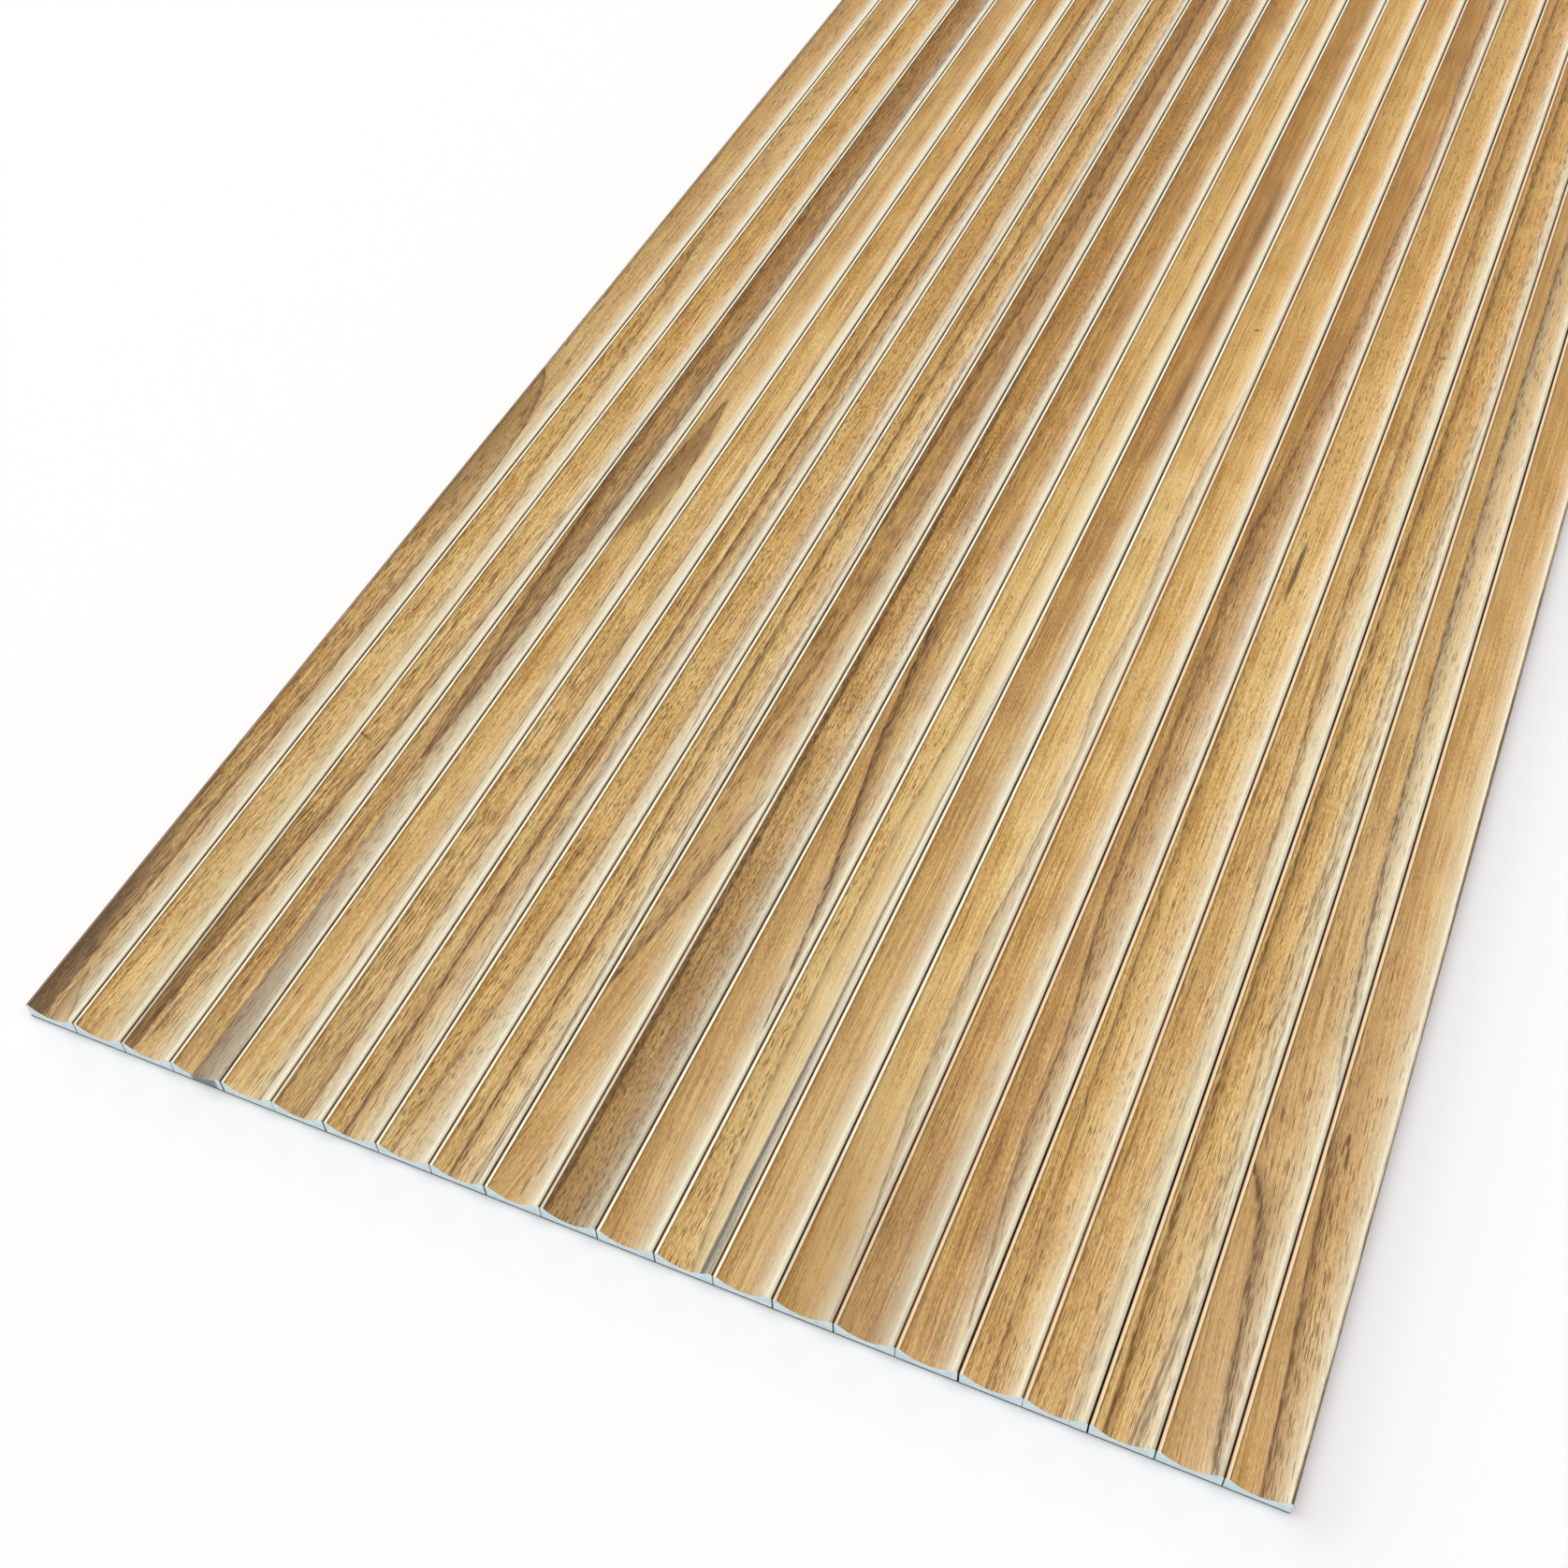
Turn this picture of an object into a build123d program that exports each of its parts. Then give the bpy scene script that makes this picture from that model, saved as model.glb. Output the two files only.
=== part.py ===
from build123d import *
import os

# Flexible slat wall panel: solid wood slats with a hollow (cove) face, laid edge to edge and
# glued by their backs to one sheet of backing cloth. The cloth is the hinge at every joint, so
# the panel rolls up, or bends round a column or a curved wall.
#
# The panel lies on its back. X runs across the slats, Y along them and Z out of the face. The
# origin is the middle of the back of the cloth.

# Driving dimensions in millimetres
SLAT_COUNT = 22
SLAT_LENGTH = 2400.0
SLAT_WIDTH = 26.7
SLAT_THICKNESS = 8.6  # at the rims, on both sides of the cove
JOINT_GAP = 0.6  # open joint between two slats, down to the cloth
COVE_DEPTH = 5.2  # from the rims to the lowest line of the cove
RIM_WIDTH = 1.6  # narrow land left between the cove and the slat's side
RIM_FALL = 0.5  # how far that land falls from the cove to the joint
EDGE_RADIUS = 0.4  # eased arris where the land meets the slat's side
CLOTH_THICKNESS = 0.9

# Sizes that follow from them
PITCH = SLAT_WIDTH + JOINT_GAP
PANEL_WIDTH = SLAT_COUNT * SLAT_WIDTH + (SLAT_COUNT - 1) * JOINT_GAP


def slat_section():
    """A slat's section: flat back and sides, two falling rims and one arc for the cove."""
    side = SLAT_WIDTH / 2
    rim = side - RIM_WIDTH
    shoulder = SLAT_THICKNESS - RIM_FALL
    with BuildSketch(Plane.XZ) as section:
        with BuildLine():
            Polyline(
                (-rim, SLAT_THICKNESS),
                (-side, shoulder),
                (-side, 0),
                (side, 0),
                (side, shoulder),
                (rim, SLAT_THICKNESS),
            )
            ThreePointArc(
                (rim, SLAT_THICKNESS),
                (0, SLAT_THICKNESS - COVE_DEPTH),
                (-rim, SLAT_THICKNESS),
            )
        make_face()
        shoulders = section.vertices().group_by(Axis.Y)[1]
        fillet(shoulders, EDGE_RADIUS)
    return section.sketch


def slat():
    """One slat of the panel's full length, with its back on Z = 0 and its middle at the origin."""
    return extrude(slat_section(), SLAT_LENGTH / 2, both=True)


def backing_cloth():
    """The sheet that carries all the slats, cut flush with them on all four sides."""
    return Box(
        PANEL_WIDTH,
        SLAT_LENGTH,
        CLOTH_THICKNESS,
        align=(Align.CENTER, Align.CENTER, Align.MIN),
    )


os.makedirs("parts", exist_ok=True)
export_step(backing_cloth(), "parts/backing_cloth.step")

# The slats stand in a row on the cloth, one joint gap apart
for number in range(1, SLAT_COUNT + 1):
    across = (number - (SLAT_COUNT + 1) / 2) * PITCH
    export_step(Pos(across, 0, CLOTH_THICKNESS) * slat(), f"parts/slat_{number:02d}.step")
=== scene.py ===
import math
import bpy
import numpy as np
from mathutils import Matrix, Vector


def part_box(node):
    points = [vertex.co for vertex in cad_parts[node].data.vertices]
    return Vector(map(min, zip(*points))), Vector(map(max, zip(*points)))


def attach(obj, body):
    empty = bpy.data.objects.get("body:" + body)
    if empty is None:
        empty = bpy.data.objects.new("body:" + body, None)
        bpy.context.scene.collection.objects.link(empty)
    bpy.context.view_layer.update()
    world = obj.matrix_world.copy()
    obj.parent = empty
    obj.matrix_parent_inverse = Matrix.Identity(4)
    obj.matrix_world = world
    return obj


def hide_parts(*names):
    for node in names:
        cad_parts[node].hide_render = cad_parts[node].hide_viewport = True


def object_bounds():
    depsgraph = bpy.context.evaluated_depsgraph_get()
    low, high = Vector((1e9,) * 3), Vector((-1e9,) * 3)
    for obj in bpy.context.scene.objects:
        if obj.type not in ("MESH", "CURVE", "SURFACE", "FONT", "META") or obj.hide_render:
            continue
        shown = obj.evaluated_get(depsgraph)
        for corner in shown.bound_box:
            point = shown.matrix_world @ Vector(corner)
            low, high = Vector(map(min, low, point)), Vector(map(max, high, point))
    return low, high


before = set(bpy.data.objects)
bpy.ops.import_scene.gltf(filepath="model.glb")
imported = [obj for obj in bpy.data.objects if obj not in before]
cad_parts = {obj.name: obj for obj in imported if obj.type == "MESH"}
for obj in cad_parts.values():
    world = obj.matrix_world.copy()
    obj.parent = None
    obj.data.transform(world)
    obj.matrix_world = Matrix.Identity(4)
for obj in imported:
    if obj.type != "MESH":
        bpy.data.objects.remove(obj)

cad_low, cad_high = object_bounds()


# Backing cloth
# One sheet of charcoal woven cloth carries every slat and is the hinge at every joint. It is cut flush
# with the slats on all four sides, and the glue film that holds them is part of its thickness.

CLOTH_LOW, CLOTH_HIGH = (Vector(corner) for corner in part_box("backing_cloth"))
CLOTH_WIDTH, CLOTH_LENGTH, CLOTH_THICKNESS = CLOTH_HIGH - CLOTH_LOW
CLOTH_ROWS = 48
CLOTH_COLUMNS = 22
THREADS_PER_METRE = 900.0  # plain weave, threads 1.1 mm apart both ways
CLOTH_WARP_COLOUR = (54, 62, 74)
CLOTH_WEFT_COLOUR = (38, 44, 54)
CLOTH_GAP_COLOUR = (16, 18, 22)
SLUB_SCALE = (160.0, 160.0, 160.0)  # thick and thin places in the threads, to a metre
FADING_SCALE = (7.0, 5.0, 7.0)  # broad cloudy fading, to a metre


class Value:
    """One socket of a material's nodes. Sums on it, such as 1 - value, add the Math nodes they need."""

    def __init__(self, socket):
        self.socket = socket

    def node(self, kind, settings, sockets, output=0):
        """Adds a node of this kind to the same material and returns one of its outputs."""
        tree = self.socket.id_data
        node = tree.nodes.new("ShaderNode" + kind)
        for name, setting in settings.items():
            if name == "stops":
                fill_ramp(node.color_ramp, setting)
            elif name == "points":
                fill_curve(node.mapping, setting)
            else:
                setattr(node, name, setting)
        for name, value in sockets.items():
            if isinstance(value, Value):
                tree.links.new(value.socket, node.inputs[name])
            else:
                node.inputs[name].default_value = value
        return Value(node.outputs[output])

    def maths(self, operation, first, second=0.0):
        return self.node("Math", {"operation": operation}, {0: first, 1: second})

    def __add__(self, other):
        return self.maths("ADD", self, other)

    def __radd__(self, other):
        return self.maths("ADD", other, self)

    def __sub__(self, other):
        return self.maths("SUBTRACT", self, other)

    def __rsub__(self, other):
        return self.maths("SUBTRACT", other, self)

    def __mul__(self, other):
        return self.maths("MULTIPLY", self, other)

    def __rmul__(self, other):
        return self.maths("MULTIPLY", other, self)

    def __truediv__(self, other):
        return self.maths("DIVIDE", self, other)

    def __abs__(self):
        return self.maths("ABSOLUTE", self)


def linear(colour):
    """A paint-chart colour of 0 to 255 as the linear light that a shader takes."""
    shares = [channel / 255 for channel in colour]
    light = [share / 12.92 if share <= 0.04045 else ((share + 0.055) / 1.055) ** 2.4 for share in shares]
    return (*light, 1.0)


def fill_ramp(ramp, stops):
    """Sets a colour ramp's stops from a list of (position, colour)."""
    while len(ramp.elements) < len(stops):
        ramp.elements.new(1.0)
    for element, (position, colour) in zip(ramp.elements, stops):
        element.position = position
        element.color = linear(colour)


def fill_curve(mapping, points):
    """Draws a float curve through a list of points and holds it level past both ends."""
    curve = mapping.curves[0]
    curve.points[0].location = points[0]
    curve.points[-1].location = points[-1]
    for point in points[1:-1]:
        curve.points.new(*point)
    for point in curve.points:
        point.handle_type = "AUTO_CLAMPED"
    mapping.extend = "HORIZONTAL"
    mapping.update()


def new_finish(name):
    """A new material, its shader and the surface place in the part's own frame."""
    material = bpy.data.materials.new(name)
    material.use_nodes = True
    shader = material.node_tree.nodes["Principled BSDF"]
    coordinates = material.node_tree.nodes.new("ShaderNodeTexCoord")
    return material, shader, Value(coordinates.outputs["Object"])


def feed(shader, socket, value):
    """Links a value to one socket of the shader."""
    shader.id_data.links.new(value.socket, shader.inputs[socket])


def step(value, low, high, start=0.0, end=1.0):
    """A smooth step from start to end as the value goes from low to high."""
    sockets = {"Value": value, "From Min": low, "From Max": high, "To Min": start, "To Max": end}
    return value.node("MapRange", {"interpolation_type": "SMOOTHSTEP"}, sockets)


def mix(share, first, second):
    """Two colours mixed by a share. A colour is a link, or a paint-chart colour."""
    colours = [side if isinstance(side, Value) else linear(side) for side in (first, second)]
    sockets = {0: share, 6: colours[0], 7: colours[1]}
    return share.node("Mix", {"data_type": "RGBA"}, sockets, output=2)


def split(place):
    """A vector's three parts."""
    parts = place.node("SeparateXYZ", {}, {0: place}).socket.node
    return [Value(output) for output in parts.outputs]


def stretch(place, scale, shift):
    """A place scaled along each axis and then moved by a shift."""
    return place.node("VectorMath", {"operation": "MULTIPLY_ADD"}, {0: place, 1: scale, 2: shift})


def noise(place, scale, shift, detail, roughness=0.5, dimensions="3D"):
    """Cloud noise of 0 to 1, stretched by a scale along each axis and moved by a shift."""
    sockets = {"Vector": stretch(place, scale, shift), "Scale": 1.0, "Detail": detail, "Roughness": roughness}
    return place.node("TexNoise", {"noise_dimensions": dimensions}, sockets)


def cloth_finish():
    """Charcoal plain weave: warp and weft threads pass over each other in turn, with a dark gap between."""
    material, shader, place = new_finish("charcoal_backing_cloth")
    across, along, _ = split(place)
    across = across * THREADS_PER_METRE
    along = along * THREADS_PER_METRE
    warp_round = abs(across.maths("SINE", across * math.pi))
    weft_round = abs(along.maths("SINE", along * math.pi))
    column = across.maths("FLOOR", across)
    row = along.maths("FLOOR", along)
    warp_over = abs(row.maths("MODULO", column + row, 2.0))
    height = warp_over * warp_round * (0.6 + 0.4 * weft_round)
    height = height + (1 - warp_over) * weft_round * (0.6 + 0.4 * warp_round)
    slub = noise(place, SLUB_SCALE, (3.1, 7.7, 0.4), 3.0)
    fading = noise(place, FADING_SCALE, (1.3, 2.9, 6.1), 2.0)
    thread = mix(warp_over, CLOTH_WEFT_COLOUR, CLOTH_WARP_COLOUR)
    thread = mix(step(height, 0.05, 0.55), CLOTH_GAP_COLOUR, thread)
    feed(shader, "Base Color", mix((slub - 0.5) * 0.5 + fading * 0.35, thread, CLOTH_WARP_COLOUR))
    feed(shader, "Roughness", 0.78 + slub * 0.2)
    bump = height.node("Bump", {}, {"Strength": 0.7, "Distance": 0.0003, "Height": height + slub * 0.3})
    feed(shader, "Normal", bump)
    shader.inputs["Sheen Weight"].default_value = 0.25
    return material


bpy.ops.object.select_all(action="DESELECT")
bpy.ops.mesh.primitive_grid_add(
    x_subdivisions=CLOTH_COLUMNS,
    y_subdivisions=CLOTH_ROWS,
    size=1.0,
    location=((CLOTH_LOW.x + CLOTH_HIGH.x) / 2, (CLOTH_LOW.y + CLOTH_HIGH.y) / 2, CLOTH_HIGH.z),
)
cloth = bpy.context.object
cloth.name = "woven_backing_cloth"
cloth.scale = (CLOTH_WIDTH, CLOTH_LENGTH, 1.0)
bpy.ops.object.transform_apply(location=True, rotation=True, scale=True)
thickness = cloth.modifiers.new("cloth_thickness", "SOLIDIFY")
thickness.thickness = CLOTH_THICKNESS
thickness.offset = -1.0
bpy.ops.object.modifier_apply(modifier=thickness.name)
cloth.data.materials.append(cloth_finish())
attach(cloth, "root")
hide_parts("backing_cloth")


# Slat moulding
# Every slat is one length of solid hardwood run through a moulder: a flat back, square sides, a wide hollow
# (the cove) down the face, and a narrow rim on both sides of it that falls a little to an eased arris.

SLAT_NAMES = sorted(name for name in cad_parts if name.startswith("slat_"))
SLAT_LOW, SLAT_HIGH = (Vector(corner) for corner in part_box(SLAT_NAMES[0]))
SLAT_WIDTH, SLAT_LENGTH, SLAT_THICKNESS = SLAT_HIGH - SLAT_LOW
SLAT_BACK = SLAT_LOW.z
SLAT_SIDE = SLAT_WIDTH / 2
COVE_DEPTH = 0.0052
RIM_WIDTH = 0.0016
RIM_FALL = 0.0005
ARRIS_RADIUS = 0.0004
ARRIS_STEPS = 3
CUTTER_FACETS = 144
ROUND_ANGLE = math.radians(28)
STRIPS = 7  # a slat's surface is laid out in this many strips, one above the other
ROWS_PER_STRIP = 12


def select_long_edges(mesh, wanted):
    """Selects the edges that run the whole length of the slat where wanted(x, z) is true."""
    for edge in mesh.edges:
        start, end = (mesh.vertices[index].co for index in edge.vertices)
        runs_long = abs(end.y - start.y) > SLAT_LENGTH * 0.9
        edge.select = runs_long and wanted(start.x, start.z)


def moulded_slat():
    """The slat that all the others are copied from, with its back on Z = 0."""
    bpy.ops.object.select_all(action="DESELECT")
    bpy.ops.mesh.primitive_cube_add(size=1.0, location=(0, 0, SLAT_THICKNESS / 2))
    slat = bpy.context.object
    slat.scale = (SLAT_WIDTH, SLAT_LENGTH, SLAT_THICKNESS)
    bpy.ops.object.transform_apply(location=True, rotation=True, scale=True)

    # The two falling rims are planed off first
    rim = SLAT_SIDE - RIM_WIDTH
    bpy.ops.object.mode_set(mode="EDIT")
    for hand in (-1, 1):
        bpy.ops.mesh.select_all(action="SELECT")
        bpy.ops.mesh.bisect(
            plane_co=(hand * rim, 0, SLAT_THICKNESS),
            plane_no=Vector((hand * RIM_FALL, 0, RIM_WIDTH)).normalized(),
            use_fill=True,
            clear_outer=True,
        )
    bpy.ops.object.mode_set(mode="OBJECT")

    # A round cutter takes out the cove
    radius = (rim ** 2 + COVE_DEPTH ** 2) / (2 * COVE_DEPTH)
    bpy.ops.mesh.primitive_cylinder_add(
        vertices=CUTTER_FACETS,
        radius=radius,
        depth=SLAT_LENGTH * 1.1,
        location=(0, 0, SLAT_THICKNESS - COVE_DEPTH + radius),
        rotation=(math.radians(90), 0, 0),
    )
    cutter = bpy.context.object
    bpy.context.view_layer.objects.active = slat
    cut = slat.modifiers.new("cove", "BOOLEAN")
    cut.operation = "DIFFERENCE"
    cut.solver = "EXACT"
    cut.object = cutter
    bpy.ops.object.modifier_apply(modifier=cut.name)
    bpy.data.objects.remove(cutter)

    # The arris at each joint is eased, then the length is divided so that a slat can bow
    shoulder = SLAT_THICKNESS - RIM_FALL
    near = ARRIS_RADIUS / 4
    half_corner = math.radians(90) / 2 + math.atan2(RIM_FALL, RIM_WIDTH) / 2
    bpy.ops.object.select_all(action="DESELECT")
    slat.select_set(True)
    bpy.ops.object.mode_set(mode="EDIT")
    bpy.ops.mesh.select_mode(type="EDGE")
    bpy.ops.mesh.select_all(action="DESELECT")
    bpy.ops.object.mode_set(mode="OBJECT")
    select_long_edges(slat.data, lambda x, z: abs(abs(x) - SLAT_SIDE) < near and abs(z - shoulder) < near)
    bpy.ops.object.mode_set(mode="EDIT")
    bpy.ops.mesh.bevel(
        offset=ARRIS_RADIUS / math.tan(half_corner),
        segments=ARRIS_STEPS,
        affect="EDGES",
    )
    bpy.ops.mesh.select_all(action="DESELECT")
    bpy.ops.object.mode_set(mode="OBJECT")
    select_long_edges(slat.data, lambda x, z: True)
    bpy.ops.object.mode_set(mode="EDIT")
    bpy.ops.mesh.subdivide(number_cuts=STRIPS * ROWS_PER_STRIP - 1)
    bpy.ops.object.mode_set(mode="OBJECT")
    bpy.ops.object.shade_smooth_by_angle(angle=ROUND_ANGLE)
    return slat


def is_sawn_end(face):
    """Whether a face is one of the slat's two ends."""
    return abs(face.normal.y) > 0.5


def lay_out_surface(mesh):
    """Unrolls the slat into strips side by side, so that a square texture spends its detail on the face."""
    strip_length = SLAT_LENGTH / STRIPS
    face_stretch = 1.16  # the cove is longer round than across
    back_height = 0.004  # the glued back gets a narrow band
    margin = 0.0015
    face_height = 2 * SLAT_THICKNESS + face_stretch * SLAT_WIDTH
    strip_height = face_height + back_height + 2 * margin
    sheet_size = max(STRIPS * strip_height + SLAT_THICKNESS + 2 * margin, strip_length + 2 * margin)
    layer = mesh.uv_layers.new(name="OFBake")
    for face in mesh.polygons:
        strip = min(int((face.center.y + SLAT_LENGTH / 2) / strip_length), STRIPS - 1)
        for corner in face.loop_indices:
            x, y, z = mesh.vertices[mesh.loops[corner].vertex_index].co
            if is_sawn_end(face):
                end = 0 if face.normal.y < 0 else 1
                right = margin + end * (SLAT_WIDTH + margin) + x + SLAT_SIDE
                up = STRIPS * strip_height + margin + z
            else:
                right = margin + y + SLAT_LENGTH / 2 - strip * strip_length
                if face.normal.z < -0.5:
                    girth = face_height + margin / 2 + back_height * (SLAT_SIDE - x) / SLAT_WIDTH
                elif face.normal.x < -0.9:
                    girth = z
                elif face.normal.x > 0.9:
                    girth = face_height - z
                else:
                    girth = SLAT_THICKNESS + face_stretch * (x + SLAT_SIDE)
                up = strip * strip_height + margin + girth
            layer.data[corner].uv = (right / sheet_size, up / sheet_size)


# Wood of the slats
# A golden tropical hardwood under a satin clear coat. No two slats come from the same board, so each has its
# own tone, rings and pores.
# The rims are pale, partly bare wood and partly painted highlight, painted sheen pales the right flank of
# every cove, and the sawn ends are chalky and pale.

DEEP_BROWN = (100, 64, 26)
BROWN = (190, 138, 66)
GOLDEN = (224, 176, 94)
STRAW = (252, 224, 156)
RING_LINE = (92, 58, 24)
RING_SHADE = (134, 94, 46)
PORE_BROWN = (104, 66, 28)
KNOT_BROWN = (66, 42, 18)
PALE_TAN = (222, 206, 154)
PALE_CREAM = (224, 218, 182)
TAN = (196, 162, 114)
ROSE_TAN = (198, 156, 112)
AMBER = (200, 144, 66)
GREY_BROWN = (128, 106, 88)
SAND_GREY = (184, 168, 134)
UMBER = (100, 74, 44)
SLATE = (84, 78, 74)
# PALE_WOOD_AND_SHEEN is pale wood in some rings, and painted sheen on the right flank of every cove
PALE_WOOD_AND_SHEEN = (212, 207, 181)
# RIM_CREAM paints the left rims, partly bare wood and partly painted highlight, and the painted highlight on
# the right edge of each cove
RIM_CREAM = (254, 246, 220)
RIM_PEACH = (244, 214, 174)
# RIM_SHADE is painted shade: on the arrises, along the left edge of each cove and on the last slat's outer
# edge
RIM_SHADE = (104, 76, 40)
# JOINT_BROWN paints the faces in the joint, partly dirt and partly painted shade
JOINT_BROWN = (132, 94, 50)
GROUND = [(0.0, DEEP_BROWN), (0.38, BROWN), (0.6, GOLDEN), (0.95, STRAW)]
GROUND_TONE = 0.54  # where the ground starts on that scale, before a slat's own tone
MILLIMETRES = 1000.0  # to a metre, because the wood is drawn in millimetres
HALF_WIDTH = SLAT_SIDE * MILLIMETRES
RIM_EDGE = (SLAT_SIDE - RIM_WIDTH) * MILLIMETRES  # where the cove meets the rims, from the slat's middle
FIGURE_REACH = 1200.0  # from the near end, covered by the drawn rings, which run straight past it
FIGURE_SPAN = 48.0  # across, that a drawn ring may swing
WHOLE_WIDTH = [(0, -22), (600, -22)]  # a line off the slat's left side, to start a patch from
NO_FADE = (5000, 6000)  # past the far end

# Sizes of the grain's features, across and along the slat
DRIFT = (70.0, 320.0)
TREMBLE = (5.0, 26.0)
STREAK = (2.2, 380.0)
FIBRE = (0.4, 44.0)
FLECK = (0.45, 3.0)
RIBBON = (16.0, 34.0)
PATCH = (30.0, 170.0)
LINE_BREAK = (1.2, 9.0)
FINE_PORE = (0.5, 0.7)  # its length is a share of the slat's own dash, as is the next one's
COARSE_PORE = (0.75, 1.5)
PORE_EDGE = (0.2, 0.34)  # shares of a pore's cell, between which the pore ends

# How far lines stray, in millimetres
DRIFT_REACH = 2.5
TREMBLE_REACH = 1.1
RAGGED_REACH = 2.5  # for each millimetre of a ring's thickness

# How much each feature moves the ground along its scale
STREAK_TONE = 0.8
RIBBON_TONE = 0.3
PATCH_TONE = 0.35
FIBRE_TONE = 1.7
FLECK_TONE = 0.95
SHADED_TONE = -0.06

# Shares by which one colour covers another
NEAR_SHEEN_MORE = 0.2  # painted sheen at the near end, on top of a slat's own tan
AMBER_SHARE = 0.4
SHEEN_NARROWED_SHARE = 0.95
PORE_SHARE = 0.85
COVE_SHADE_SHARE = 0.6
LEFT_RIM_SHARE = 0.97
RIGHT_HIGHLIGHT_SHARE = 0.95
RIGHT_HIGHLIGHT_LOSS = 0.025  # with each slat to the right
ARRIS_SHADE_SHARE = 0.3
JOINT_SHARE = 0.95

# Distances from the near end between which the wood changes
LEAN_REACH = 450.0  # the grain leans up to here
FAR_WOOD = (100.0, 550.0)  # from the near tone and pores to the far ones
# The next three are painted light: painted shade darkens the far end and makes it more amber, and painted
# sheen pales the near end
SHADED_WOOD = (500.0, 900.0)
NEAR_SHEEN_REACH = (0.0, 600.0)
AMBER_WOOD = (300.0, 850.0)
SHEEN_NARROWING = (300.0, 800.0)  # the painted sheen strip gets narrower here

# Painted sheen on the right flank of each cove, which faces the window
SHEEN_ACROSS = [
    (-13.4, 0.0), (-4.0, 0.0), (0.7, 0.12), (4.1, 0.32), (7.6, 0.56), (9.3, 0.8), (11.0, 0.95), (13.4, 0.95),
]  # a place across, and how strongly sheen is painted there
SHEEN_SHIFT = 0.16  # how much earlier that starts on each slat to the left
SHEEN_NARROWED = (1.0, 9.5)  # across, where the narrower painted sheen strip starts and is full
SHEEN_NARROWED_SHIFT = 0.21  # how much later that starts on each slat to the right


def ring(
    to=None, start=None, dark=0.6, thick=1.0, band=8.0, wash=PALE_TAN, share=0.25, pores=0.3, beyond=0.0,
):
    """A growth ring: a dark line and a porous band that fades into smooth wood, between two lines of points.

    The points are (along, across), and beyond says how pale the wood outside the band is.
    """
    return {
        "to": to,
        "start": start,
        "dark": dark,
        "thick": thick,
        "band": band,
        "wash": wash,
        "share": share,
        "pores": pores,
        "beyond": beyond,
    }


def stain(to=None, start=None, wash=UMBER, share=0.5, soft=1.5, fade=(0, 400)):
    """A patch of another colour between two lines, which fades out along the slat."""
    return {"to": to, "start": start, "wash": wash, "share": share, "soft": soft, "fade": fade}


def mark(along, across, length, width, share=0.8):
    """A pin knot, a bruise or a short dark streak, as an oval."""
    return {"along": along, "across": across, "length": length, "width": width, "share": share}


def look(
    tone=0.0, far_tone=0.0, tan=0.0, tan_and_sheen=TAN, lean=0.0, grain=1.0, pores=0.15, far_pores=0.0, dash=10.0,
    rim=RIM_CREAM, rings=(), stains=(), marks=(),
):
    """One slat's own look: its tone and pores near and far, how tan it is, and how far the grain leans."""
    return {
        "tone": tone,
        "far_tone": far_tone,
        "tan": tan,
        "tan_and_sheen": tan_and_sheen,
        "lean": lean,
        "grain": grain,
        "pores": pores,
        "far_pores": far_pores,
        "dash": dash,
        "rim": rim,
        "rings": rings,
        "stains": stains,
        "marks": marks,
    }


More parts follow.
